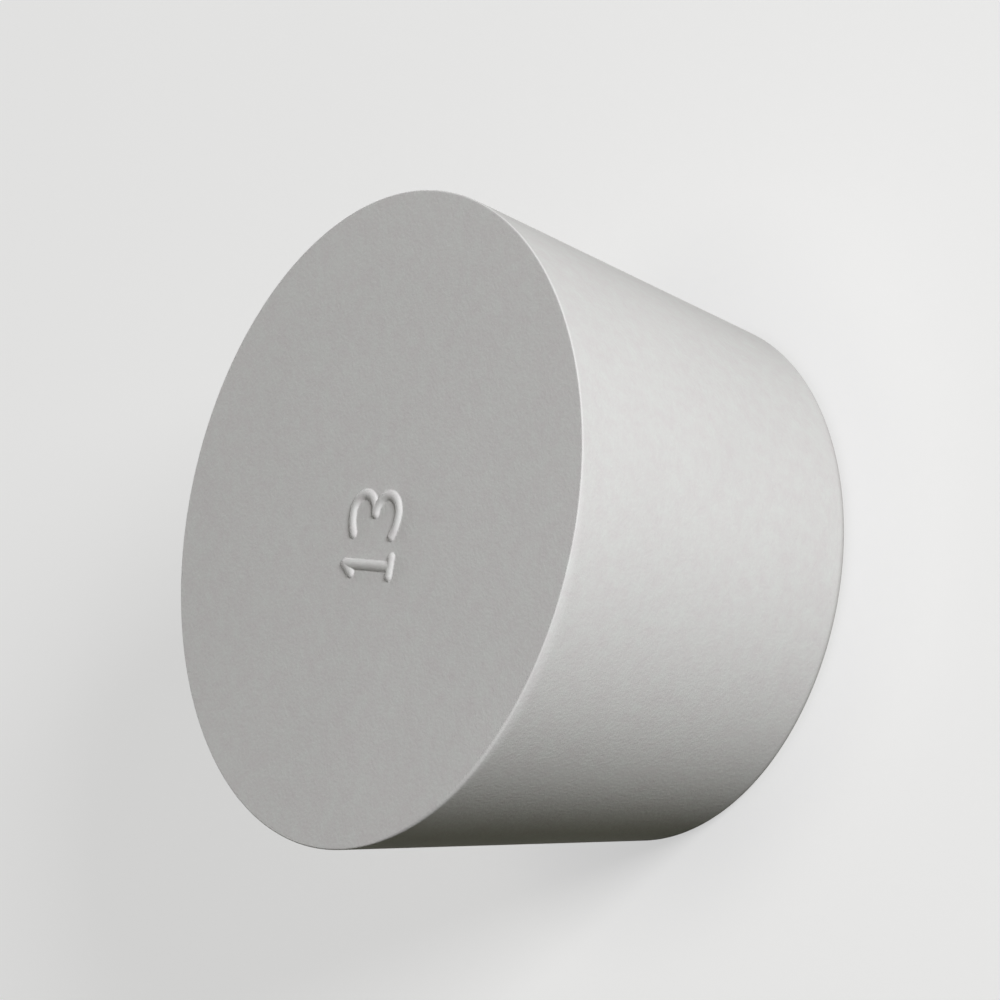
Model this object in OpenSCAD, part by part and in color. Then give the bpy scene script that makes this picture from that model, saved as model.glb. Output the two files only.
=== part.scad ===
// Solid rubber stopper: a plain tapered plug with softly rounded rims.
// Its trade size number stands up in half-round strokes from the middle of the large end.
// The plug stands on its small end: the origin is that end's centre and Z is its axis.

/* [Plug] */
// Diameter of the large end, where the side and the end face would meet if the rim were sharp
large_d = 69; // [57:0.5:90]
// Diameter of the small end, measured the same way
small_d = 55; // [40:0.5:68]
// Height between the two end faces, without the numerals
plug_h = 40.5; // [25:0.5:60]
// Radius of the rim around the large end
large_rim_r = 0.15; // [0.1:0.05:3]
// Radius of the rim around the small end
small_rim_r = 1.5; // [0.2:0.05:4]

/* [Numerals] */
// Width of the strokes where they meet the large end
stroke_w = 1.15; // [0.6:0.05:1.4]
// How far the strokes stand up from the large end
stroke_rise = 0.3; // [0.2:0.05:0.7]
// Distance from the plug's axis to the numerals' baseline, towards -Y
baseline_drop = 4.05; // [2:0.05:8]
// Distance from the plug's axis to the stem of the one, towards -X
one_offset = 4.9; // [4:0.1:6]
// How much taller the one is than the three
one_extra_h = 0.05; // [0:0.05:0.6]
// Length of the bar at the foot of the one
foot_l = 1.95; // [1.4:0.05:3]
// Length of the flag at the top of the one
flag_l = 1.6; // [1.2:0.1:2.4]
// Slope of the flag down from the tip of the one, in degrees
flag_slope = 55; // [30:1:65]
// Distance from the plug's axis to the middle of the three, towards +X
three_offset = 0.5; // [0:0.1:3]
// Height of the three, between the middles of its lowest and highest strokes
three_h = 8; // [7.2:0.1:9]
// Radius of the three's lower bowl, at the middle of its stroke; the upper bowl takes the rest
lower_bowl_r = 2; // [1.6:0.05:2.3]
// Distance between the middles of the two bowls' strokes at the waist
waist_gap = 0.1; // [0.1:0.05:0.6]
// Radius of the flatter tails that lead out of the two bowls
tail_r = 4.2; // [2.6:0.1:5]
// How far each tail turns, in degrees
tail_turn = 32; // [20:1:50]

/* [Hidden] */
$fn = 96;

// Lean of the side away from the axis, in degrees
taper = atan((large_d - small_d) / 2 / plug_h);
// Outward normal of the side, in the plane of the plug's section
side_normal = [cos(taper), -sin(taper)];
// Middles of the rims' arcs, each of which touches its end face and the side
large_rim = [large_d / 2 - large_rim_r * (tan(taper) + 1 / cos(taper)), plug_h - large_rim_r];
small_rim = [small_d / 2 + small_rim_r * (tan(taper) - 1 / cos(taper)), small_rim_r];
// The side starts and ends this far inside the rims' arcs, so that they cross and don't only touch
tuck = 0.001;
// Height of the one, from the middle of its foot to the tip of its stem
one_h = three_h + one_extra_h;
// Radius of the three's upper bowl, at the middle of its stroke
upper_bowl_r = (three_h - waist_gap) / 2 - lower_bowl_r;
// Radius of a stroke's round section, from its width at the face and its rise
stroke_r = (stroke_w^2 / 4 + stroke_rise^2) / (2 * stroke_rise);
// The balls at the strokes' ends and corners are this much larger in radius than the strokes,
// and the strokes stop this far short inside them, so that no two surfaces only touch
ball_extra = 0.02;
stop_short = 0.06;

// Half of the plug's section, which turns about the axis
module plug_section() {
    polygon([
        [0, 0],
        [small_rim.x, 0],
        small_rim + (small_rim_r - tuck) * side_normal,
        large_rim + (large_rim_r - tuck) * side_normal,
        [large_rim.x, plug_h],
        [0, plug_h]
    ]);
    translate(small_rim) circle(small_rim_r);
    translate(large_rim) circle(large_rim_r);
}

// Point on a circle, at an angle in degrees from +X
function on_circle(middle, radius, angle) = middle + radius * [cos(angle), sin(angle)];

// Round end of a stroke, or round corner between two
module ball(at) {
    translate(at) sphere(stroke_r + ball_extra);
}

// Straight stroke from a point along a heading, in degrees from +X
module straight(start, length, heading) {
    translate(start) rotate(heading) rotate([0, 90, 0])
        translate([0, 0, stop_short]) cylinder(r = stroke_r, h = length - 2 * stop_short);
    ball(start);
    ball(on_circle(start, length, heading));
}

// Curved stroke about a middle, anticlockwise from one angle to another
module curve(middle, radius, from, to) {
    cut = asin(stop_short / radius);
    translate(middle) rotate_extrude(angle = to - from - 2 * cut, start = from + cut)
        translate([radius, 0]) circle(stroke_r);
}

// Stem with a short foot bar and a flag that slopes down to the left
module one() {
    foot = [-one_offset, 0];
    top = [-one_offset, one_h];
    straight(foot, one_h, 90);
    straight(top, flag_l, 180 + flag_slope);
    straight(foot - [foot_l / 2, 0], foot_l, 0);
}

// Two right-hand bowls, one on the other, each with a flatter tail out to the left
module three() {
    lower = [three_offset, lower_bowl_r];
    upper = lower + [0, lower_bowl_r + waist_gap + upper_bowl_r];
    lower_tail = lower + [0, tail_r - lower_bowl_r];
    upper_tail = upper - [0, tail_r - upper_bowl_r];
    curve(lower, lower_bowl_r, -90, 90);
    curve(upper, upper_bowl_r, -90, 90);
    curve(lower_tail, tail_r, -90 - tail_turn, -90);
    curve(upper_tail, tail_r, 90, 90 + tail_turn);
    for (side = [-90 - tail_turn, -90]) ball(on_circle(lower_tail, tail_r, side));
    for (side = [90, 90 + tail_turn]) ball(on_circle(upper_tail, tail_r, side));
    ball(on_circle(lower, lower_bowl_r, 90));
    ball(on_circle(upper, upper_bowl_r, -90));
}

module stopper() {
    color("gainsboro") {
        rotate_extrude() plug_section();
        translate([0, -baseline_drop, plug_h + stroke_rise - stroke_r]) {
            one();
            three();
        }
    }
}

stopper();
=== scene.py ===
"""Looks of a solid rubber stopper: a fine mesh of the plug, its matt rubber, and a studio."""
import math

import bmesh
import bpy
import numpy as np
from mathutils import Matrix, Vector


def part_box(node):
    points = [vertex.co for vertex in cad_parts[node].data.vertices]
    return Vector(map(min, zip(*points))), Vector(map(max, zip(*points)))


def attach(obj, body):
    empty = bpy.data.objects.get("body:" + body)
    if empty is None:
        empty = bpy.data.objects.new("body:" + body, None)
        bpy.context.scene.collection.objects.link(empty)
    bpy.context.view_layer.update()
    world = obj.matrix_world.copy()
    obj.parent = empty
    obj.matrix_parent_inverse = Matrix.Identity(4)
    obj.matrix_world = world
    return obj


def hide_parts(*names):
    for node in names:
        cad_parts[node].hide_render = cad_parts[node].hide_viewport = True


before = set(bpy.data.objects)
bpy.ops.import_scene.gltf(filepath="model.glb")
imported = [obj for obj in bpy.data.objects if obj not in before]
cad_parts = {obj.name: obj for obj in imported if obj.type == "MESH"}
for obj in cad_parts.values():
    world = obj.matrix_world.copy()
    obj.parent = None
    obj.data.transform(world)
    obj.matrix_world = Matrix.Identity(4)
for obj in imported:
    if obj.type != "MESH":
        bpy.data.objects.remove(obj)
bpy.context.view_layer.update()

MM = 0.001

# Plug, in millimetres, as in the CAD model
LARGE_D = 69
SMALL_D = 55
LARGE_RIM_R = 0.15
SMALL_RIM_R = 1.5

# Where the large rim is more rounded: its radius there in millimetres, and the middle and the reach
# of that stretch around the rim, in degrees
SOFT_RIM_R = 0.4
SOFT_MIDDLE = -138
SOFT_REACH = 34

# Where the side eases upright just below the large rim: the easing's radius in millimetres, how
# far it turns at the most in degrees, and the share of that turn that it keeps all round
EASE_R = 3.5
EASE_TURN = 20
EASE_LEAST = 0.1
# The middle and the reach of the stretch around the rim where the easing swells, in degrees
EASE_MIDDLE = -110
EASE_REACH = 52

# Numerals on the large end, in millimetres, as in the CAD model
STROKE_W = 1.15
STROKE_RISE = 0.3
# The round corners of the strokes rise this far, up to the top of the CAD model
CORNER_RISE = 0.32
BASELINE_Y = -4.05
ONE_X = -4.9
THREE_H = 8
ONE_H = 8.05
FOOT_L = 1.95
FLAG_L = 1.6
FLAG_SLOPE = 55
THREE_X = 0.5
LOWER_BOWL_R = 2
WAIST_GAP = 0.1
TAIL_R = 4.2
TAIL_TURN = 32
# Radius of the soft corner where a stroke meets the face
FOOT_FILLET_R = 0.15

# Fineness of the mesh: faces around the plug, steps along its arcs and rows up its side
SEGMENTS = 288
RIM_STEPS = 12
EASE_STEPS = 6
SIDE_ROWS = 18
# Distance in millimetres from each arc to the row of faces that keeps its shading to itself
HOLD = 0.25
# Where the two flats have rings, as shares of their radii
SMALL_FLAT_RINGS = (0.25, 0.5, 0.75)
LARGE_FLAT_RINGS = (0.85, 0.7, 0.55, 0.4)
# Step of the numerals' grid, and its margin beyond the strokes, in millimetres
GRID_STEP = 0.05
GRID_MARGIN = 0.35


# --- The plug's section -------------------------------------------------------------------------


def arc(middle, radius, start, end, steps):
    """Points along an arc in the section's plane, at angles in degrees from outwards."""
    angles = np.radians(np.linspace(start, end, steps + 1))
    return [(middle[0] + radius * math.cos(a), middle[1] + radius * math.sin(a)) for a in angles]


def between(start, end, distances):
    """Points on a line from start to end, at these distances from start."""
    length = math.dist(start, end)
    return [tuple(s + (e - s) * d / length for s, e in zip(start, end)) for d in distances]


def on_side(plug_h, height):
    """The tapered side's radius at a height."""
    return (SMALL_D + (LARGE_D - SMALL_D) * height / plug_h) / 2


def swell(azimuth, middle, reach):
    """Rises from 0 to 1 in the middle of a stretch around the rim, and falls to 0 again."""
    apart = abs((azimuth - middle + 180) % 360 - 180)
    return math.cos(math.radians(90 * min(apart / reach, 1))) ** 2


def ease_share(azimuth):
    """How much of the easing there is in a direction around the rim, from EASE_LEAST to 1."""
    return max(swell(azimuth, EASE_MIDDLE, EASE_REACH), EASE_LEAST)


def large_rim_r(azimuth):
    """The large rim's radius in a direction around it."""
    return LARGE_RIM_R + (SOFT_RIM_R - LARGE_RIM_R) * swell(azimuth, SOFT_MIDDLE, SOFT_REACH)


def small_rim(taper):
    """The rounded rim from the small end's flat to the side, which leans out by the taper."""
    slant, lean = 1 / math.cos(math.radians(taper)), math.tan(math.radians(taper))
    middle = (SMALL_D / 2 + SMALL_RIM_R * (lean - slant), SMALL_RIM_R)
    return arc(middle, SMALL_RIM_R, -90, -taper, RIM_STEPS)


def easing(plug_h, taper, upright, top):
    """The arc that turns the side from its taper to upright, in degrees, and ends at a height."""
    foot = top - EASE_R * (math.sin(math.radians(upright)) + math.sin(math.radians(taper)))
    across = on_side(plug_h, foot) - EASE_R * math.cos(math.radians(taper))
    middle = (across, top - EASE_R * math.sin(math.radians(upright)))
    return arc(middle, EASE_R, -taper, upright, EASE_STEPS)


def plug_profile(plug_h, azimuth):
    """(radius, height) points from the small end's flat, up the side, to the large end's flat."""
    taper = math.degrees(math.atan((LARGE_D - SMALL_D) / 2 / plug_h))
    upright = EASE_TURN * ease_share(azimuth) - taper
    rim_r = large_rim_r(azimuth)
    foot_rim = small_rim(taper)
    ease = easing(plug_h, taper, upright, plug_h - rim_r * (1 - math.sin(math.radians(upright))))
    top_middle = (ease[-1][0] - rim_r * math.cos(math.radians(upright)), plug_h - rim_r)
    top_rim = arc(top_middle, rim_r, upright, 90, RIM_STEPS)

    length = math.dist(foot_rim[-1], ease[0])
    side = between(foot_rim[-1], ease[0], np.linspace(HOLD, length - HOLD, SIDE_ROWS))
    return foot_rim + side + ease[:-1] + top_rim


# --- The numerals' relief -----------------------------------------------------------------------


def to_segment(x, y, start, end):
    """Distance of each point from a straight centre line."""
    dx, dy = end[0] - start[0], end[1] - start[1]
    along = ((x - start[0]) * dx + (y - start[1]) * dy) / (dx * dx + dy * dy)
    along = np.clip(along, 0, 1)
    return np.hypot(x - start[0] - along * dx, y - start[1] - along * dy)


def to_curve(x, y, middle, radius, start, end):
    """Distance of each point from an arc that runs anticlockwise, at angles in degrees."""
    half = math.radians(end - start) / 2
    centre_angle = math.radians(start + end) / 2
    angle = np.arctan2(y - middle[1], x - middle[0]) - centre_angle
    angle = (angle + math.pi) % (2 * math.pi) - math.pi
    nearest = np.clip(angle, -half, half) + centre_angle
    return np.hypot(
        x - middle[0] - radius * np.cos(nearest),
        y - middle[1] - radius * np.sin(nearest),
    )


def to_one(x, y):
    """Distance from the one's stem, foot and flag."""
    foot = (ONE_X, BASELINE_Y)
    top = (ONE_X, BASELINE_Y + ONE_H)
    slope = math.radians(180 + FLAG_SLOPE)
    flag_end = (top[0] + FLAG_L * math.cos(slope), top[1] + FLAG_L * math.sin(slope))
    left, right = (foot[0] - FOOT_L / 2, foot[1]), (foot[0] + FOOT_L / 2, foot[1])
    lines = [(foot, top), (top, flag_end), (left, right)]
    return np.minimum.reduce([to_segment(x, y, *line) for line in lines])


def to_three(x, y):
    """Distance from the three's two bowls and their tails."""
    upper_bowl_r = (THREE_H - WAIST_GAP) / 2 - LOWER_BOWL_R
    bottom, top = BASELINE_Y, BASELINE_Y + THREE_H
    curves = [
        ((THREE_X, bottom + LOWER_BOWL_R), LOWER_BOWL_R, -90, 90),
        ((THREE_X, top - upper_bowl_r), upper_bowl_r, -90, 90),
        ((THREE_X, bottom + TAIL_R), TAIL_R, -90 - TAIL_TURN, -90),
        ((THREE_X, top - TAIL_R), TAIL_R, 90, 90 + TAIL_TURN),
    ]
    return np.minimum.reduce([to_curve(x, y, *curve) for curve in curves])


def stroke_height(distance):
    """Height of a half-round stroke with a small fillet at its foot, by distance from its line."""
    radius = (STROKE_W**2 / 4 + STROKE_RISE**2) / (2 * STROKE_RISE)
    sunk = radius - STROKE_RISE
    fillet_at = math.sqrt((radius + FOOT_FILLET_R) ** 2 - (sunk + FOOT_FILLET_R) ** 2)
    touch = fillet_at * radius / (radius + FOOT_FILLET_R)
    crown = np.sqrt(np.maximum(radius**2 - distance**2, 0)) - sunk
    out = np.maximum(fillet_at - distance, 0)
    fillet = FOOT_FILLET_R - np.sqrt(np.maximum(FOOT_FILLET_R**2 - out**2, 0))
    return np.where(distance < touch, crown, np.where(distance < fillet_at, fillet, 0))


def relief_height(x, y):
    """Height of the numerals above the large end at each point."""
    return stroke_height(np.minimum(to_one(x, y), to_three(x, y)))


# --- The mesh, in millimetres -------------------------------------------------------------------


def add_turned(bm, profiles):
    """A surface through a list of (radius, height) points for each turn. Returns its end rings."""
    turns = [math.radians(azimuth) for azimuth in azimuths()]
    rings = [
        [bm.verts.new((r * math.cos(a), r * math.sin(a), z)) for a, (r, z) in zip(turns, ring)]
        for ring in zip(*profiles)
    ]
    for lower, upper in zip(rings, rings[1:]):
        for i in range(SEGMENTS):
            bm.faces.new((lower[i - 1], lower[i], upper[i], upper[i - 1]))
    return rings[0], rings[-1]


def close_ring(bm, ring, height):
    """A fan of triangles from a ring to the axis."""
    middle = bm.verts.new((0, 0, height))
    for i in range(SEGMENTS):
        bm.faces.new((ring[i], ring[i - 1], middle))


def add_relief(bm, plug_h):
    """The middle of the large end: a fine grid that the numerals stand up from."""
    reach = STROKE_W / 2 + GRID_MARGIN
    # A bowl's radius is about a quarter of the three's height
    bowl_reach = THREE_H / 4 + WAIST_GAP
    left = ONE_X - max(FOOT_L / 2, FLAG_L) - reach
    right = THREE_X + bowl_reach + reach
    low, high = BASELINE_Y - reach, BASELINE_Y + ONE_H + reach
    xs = np.linspace(left, right, round((right - left) / GRID_STEP) + 1)
    ys = np.linspace(low, high, round((high - low) / GRID_STEP) + 1)
    x, y = np.meshgrid(xs, ys)
    points = np.stack([x, y, plug_h + relief_height(x, y)], axis=-1)
    rows = [[bm.verts.new(point) for point in row] for row in points]
    for low_row, high_row in zip(rows, rows[1:]):
        for i in range(len(xs) - 1):
            bm.faces.new((low_row[i], low_row[i + 1], high_row[i + 1], high_row[i]))


def azimuths():
    """The directions around the axis where the mesh has its columns, in degrees."""
    return [i * 360 / SEGMENTS for i in range(SEGMENTS)]


def full_profile(plug_h, azimuth):
    """The plug's section with both flats, from near the axis to the ring around the numerals."""
    profile = plug_profile(plug_h, azimuth)
    small_edge, large_edge = profile[0][0], profile[-1][0]
    small_flat = [(small_edge * share, 0) for share in SMALL_FLAT_RINGS]
    small_flat.append((small_edge - HOLD, 0))
    large_flat = [(large_edge - HOLD, plug_h)]
    large_flat += [(large_edge * share, plug_h) for share in LARGE_FLAT_RINGS]
    return small_flat + profile + large_flat


def stopper_mesh(plug_h):
    """The whole plug as one closed surface, in metres."""
    bm = bmesh.new()
    first, _ = add_turned(bm, [full_profile(plug_h, azimuth) for azimuth in azimuths()])
    close_ring(bm, first, 0)
    add_relief(bm, plug_h)
    bmesh.ops.bridge_loops(bm, edges=[edge for edge in bm.edges if edge.is_boundary])
    bmesh.ops.recalc_face_normals(bm, faces=bm.faces)
    for face in bm.faces:
        face.smooth = True
    bmesh.ops.scale(bm, vec=(MM, MM, MM), verts=bm.verts)
    mesh = bpy.data.meshes.new("stopper_body")
    bm.to_mesh(mesh)
    bm.free()
    return mesh


def make_stopper():
    """The visible plug, which stands for the CAD node."""
    _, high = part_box("stopper")
    plug_h = high.z / MM - CORNER_RISE
    stopper = bpy.data.objects.new("stopper_body", stopper_mesh(plug_h))
    bpy.context.scene.collection.objects.link(stopper)
    stopper.data.materials.append(rubber_material())
    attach(stopper, "root")
    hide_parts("stopper")
    return stopper


# --- Rubber -------------------------------------------------------------------------------------

# The rubber's slow clouds, its blotches, its blush and its fine grain: how wide the coarsest of
# each is in millimetres, how many octaves it has, and how strong each octave is beside the last
CLOUDS = (13, 3, 0.5)
BLOTCHES = (1.6, 5, 0.8)
BLUSH = (1.6, 4, 0.7)
GRAIN = (0.4, 2, 0.5)
# Most of a pattern lies between these values
PATTERN_LOW = 0.3
PATTERN_HIGH = 0.7
# Height in millimetres of the grain
GRAIN_DEPTH = 0.03
# Shares by which the clouds and the blotches lighten and darken the colour
CLOUDINESS = 0.01
BLOTCHINESS = 0.04
# The two off-whites that the blush wavers between
ROSY_WHITE = (0.736, 0.714, 0.729, 1)
GREENISH_WHITE = (0.716, 0.727, 0.726, 1)
# The rubber is matt, and reflects less than the shader's usual half
SPECULAR = 0.07
LEAST_ROUGHNESS = 0.8
MOST_ROUGHNESS = 0.92
# Sockets of the mix node that serve colours
MIX_SHARE = 0
MIX_FIRST = 6
MIX_SECOND = 7
MIX_RESULT = 2


class Graph:
    """The nodes of a material or world, with short ways to add to them."""

    def __init__(self, owner):
        owner.use_nodes = True
        self.nodes = owner.node_tree.nodes
        self.links = owner.node_tree.links

    def add(self, kind, inputs=None, **settings):
        """A node of this kind. An input is named or numbered, and takes a value or an output."""
        node = self.nodes.new(kind)
        for key, value in settings.items():
            setattr(node, key, value)
        for key, value in (inputs or {}).items():
            if isinstance(value, bpy.types.NodeSocket):
                self.links.new(value, node.inputs[key])
            else:
                node.inputs[key].default_value = value
        return node

    def pattern(self, place, width, octaves, strength):
        """Noise whose coarsest blots are this many millimetres wide."""
        scale = 1 / (width * MM)
        inputs = {"Vector": place, "Scale": scale, "Detail": octaves, "Roughness": strength}
        return self.add("ShaderNodeTexNoise", inputs).outputs["Fac"]

    def spread(self, pattern, low, high):
        """The pattern, spread over low to high."""
        inputs = {"Value": pattern, "From Min": PATTERN_LOW, "From Max": PATTERN_HIGH}
        inputs |= {"To Min": low, "To Max": high}
        return self.add("ShaderNodeMapRange", inputs).outputs["Result"]


def rubber_colour(graph, place):
    """An off-white that wavers between rosy and greenish, slowly cloudy and finely blotched."""
    clouds = graph.pattern(place, *CLOUDS)
    blotches = graph.pattern(place, *BLOTCHES)
    blush = graph.spread(graph.pattern(place, *BLUSH), 0, 1)
    tints = {MIX_SHARE: blush, MIX_FIRST: ROSY_WHITE, MIX_SECOND: GREENISH_WHITE}
    colour = graph.add("ShaderNodeMix", tints, data_type="RGBA").outputs[MIX_RESULT]
    for pattern, share in ((clouds, CLOUDINESS), (blotches, BLOTCHINESS)):
        shade = {0: colour, "Scale": graph.spread(pattern, 1 - share, 1 + share)}
        colour = graph.add("ShaderNodeVectorMath", shade, operation="SCALE").outputs["Vector"]
    return colour


def rubber_material():
    """Matt off-white rubber with a fine powdery grain."""
    material = bpy.data.materials.new("rubber")
    graph = Graph(material)
    place = graph.add("ShaderNodeTexCoord").outputs["Object"]
    grain = graph.pattern(place, *GRAIN)
    relief = graph.add("ShaderNodeBump", {"Height": grain, "Distance": GRAIN_DEPTH * MM})
    shader = graph.nodes["Principled BSDF"].inputs
    graph.links.new(rubber_colour(graph, place), shader["Base Color"])
    graph.links.new(graph.spread(grain, LEAST_ROUGHNESS, MOST_ROUGHNESS), shader["Roughness"])
    graph.links.new(relief.outputs["Normal"], shader["Normal"])
    shader["Specular IOR Level"].default_value = SPECULAR
    return material


# --- Studio -------------------------------------------------------------------------------------

# Camera: angles in degrees, distances and lens in millimetres
CAMERA_AZIMUTH = -94.8
CAMERA_ELEVATION = 35.964
CAMERA_ROLL = -77.762
CAMERA_TARGET = (4.769, 2.086, 23.665)
CAMERA_DISTANCE = 835.7
CAMERA_LENS = 288
# Half the floor's width in metres, its colour to sight and to the light it throws back, and the
# glow that lifts it to sight
FLOOR_REACH = 3
FLOOR_SEEN = (0.4, 0.4, 0.4, 1)
FLOOR_UNSEEN = (0.185, 0.185, 0.133, 1)
FLOOR_GLOW = 0.55
# Distances in metres from the axis where the lit floor starts and ends its fade into the backdrop
FADE_START = 0.14
FADE_END = 0.4
# Paleness of the backdrop to sight, and the light that the world throws
BACKDROP = 0.8
SKY = 0.01
# Lamps: how far off they stand in metres, and their colours
LAMP_DISTANCE = 1.1
WHITE = (1, 1, 1)
WARM = (1, 0.98, 0.86)
# Each lamp's azimuth and elevation in degrees, its width and height in metres, its radiance, the
# height in metres of the point on the axis that it faces, and its colour
LAMPS = {
    "key": (-69, 21.5, 0.34, 0.34, 33.4, 0.02, WHITE),
    "top": (-69, 90, 0.34, 0.34, 4.5, 0.02, WARM),
    "side_fill": (30, 0, 0.63, 0.22, 4.8, 0.12, WHITE),
    "back_fill": (85, 0, 0.94, 0.22, 9, 0.12, WHITE),
}


def direction(azimuth, elevation):
    """The unit vector at an azimuth and elevation in degrees."""
    a, e = math.radians(azimuth), math.radians(elevation)
    return Vector((math.cos(a) * math.cos(e), math.sin(a) * math.cos(e), math.sin(e)))


def make_camera():
    """Looks down on the large end, rolled so that the axis lies across the picture."""
    back = direction(CAMERA_AZIMUTH, CAMERA_ELEVATION)
    camera = bpy.data.objects.new("camera", bpy.data.cameras.new("camera"))
    bpy.context.scene.collection.objects.link(camera)
    roll = Matrix.Rotation(math.radians(CAMERA_ROLL), 3, "Z")
    turn = (-back).to_track_quat("-Z", "Y").to_matrix() @ roll
    place = Vector(CAMERA_TARGET) * MM + back * CAMERA_DISTANCE * MM
    camera.matrix_world = Matrix.Translation(place) @ turn.to_4x4()
    camera.data.lens = CAMERA_LENS
    bpy.context.scene.camera = camera


def make_lamp(name, azimuth, elevation, width, height, radiance, faced_z, colour):
    """A softbox that faces the axis. Radiance is in watts for each square metre and steradian."""
    data = bpy.data.lights.new(name, "AREA")
    data.shape = "RECTANGLE"
    data.size, data.size_y = width, height
    data.energy = radiance * width * height * math.pi
    data.color = colour
    lamp = bpy.data.objects.new(name, data)
    bpy.context.scene.collection.objects.link(lamp)
    back = direction(azimuth, elevation)
    lamp.location = back * LAMP_DISTANCE + Vector((0, 0, faced_z))
    lamp.rotation_euler = back.to_track_quat("Z", "Y").to_euler()
    lamp.visible_camera = False


def seen(graph):
    """1 for sight, reflections and what shows through glass, and 0 for the light things throw."""
    path = graph.add("ShaderNodeLightPath").outputs
    share = path["Is Camera Ray"]
    for ray in ("Is Glossy Ray", "Is Transmission Ray"):
        both = {0: share, 1: path[ray]}
        share = graph.add("ShaderNodeMath", both, operation="MAXIMUM").outputs[0]
    return share


def floor_material():
    """Pale to sight: lit and shadowed near the stopper, and evenly pale further out."""
    material = bpy.data.materials.new("floor")
    graph = Graph(material)
    place = graph.add("ShaderNodeTexCoord").outputs["Object"]
    away = graph.add("ShaderNodeVectorMath", {0: place}, operation="LENGTH").outputs["Value"]
    reach = {"Value": away, "From Min": FADE_START, "From Max": FADE_END}
    fade = graph.add("ShaderNodeMapRange", reach, interpolation_type="SMOOTHSTEP").outputs["Result"]

    dim = graph.add("ShaderNodeBsdfDiffuse", {"Color": FLOOR_UNSEEN})
    pale = graph.add("ShaderNodeBsdfDiffuse", {"Color": FLOOR_SEEN})
    glow = graph.add("ShaderNodeEmission", {"Strength": FLOOR_GLOW})
    even = graph.add("ShaderNodeEmission", {"Strength": BACKDROP})
    near = graph.add("ShaderNodeAddShader", {0: pale.outputs[0], 1: glow.outputs[0]})
    near_to_far = {0: fade, 1: near.outputs[0], 2: even.outputs[0]}
    sight = graph.add("ShaderNodeMixShader", near_to_far)
    unseen_to_seen = {0: seen(graph), 1: dim.outputs[0], 2: sight.outputs[0]}
    shown = graph.add("ShaderNodeMixShader", unseen_to_seen)
    graph.links.new(shown.outputs[0], graph.nodes["Material Output"].inputs["Surface"])
    graph.nodes.remove(graph.nodes["Principled BSDF"])
    return material


def make_floor():
    """A square that the stopper stands on."""
    mesh = bpy.data.meshes.new("floor")
    square = ((-1, -1), (1, -1), (1, 1), (-1, 1))
    corners = [(x * FLOOR_REACH, y * FLOOR_REACH, 0) for x, y in square]
    mesh.from_pydata(corners, [], [(0, 1, 2, 3)])
    mesh.materials.append(floor_material())
    floor = bpy.data.objects.new("floor", mesh)
    bpy.context.scene.collection.objects.link(floor)


def make_world():
    """As pale as the far floor to sight, but it throws little light."""
    world = bpy.data.worlds.new("studio")
    bpy.context.scene.world = world
    graph = Graph(world)
    unseen_to_seen = {"Value": seen(graph), "To Min": SKY, "To Max": BACKDROP}
    strength = graph.add("ShaderNodeMapRange", unseen_to_seen)
    background = graph.nodes["Background"].inputs
    background["Color"].default_value = (*WHITE, 1)
    graph.links.new(strength.outputs["Result"], background["Strength"])


make_camera()
make_stopper()
make_floor()
make_world()
for name, settings in LAMPS.items():
    make_lamp(name, *settings)
bpy.context.scene.view_settings.view_transform = "Standard"
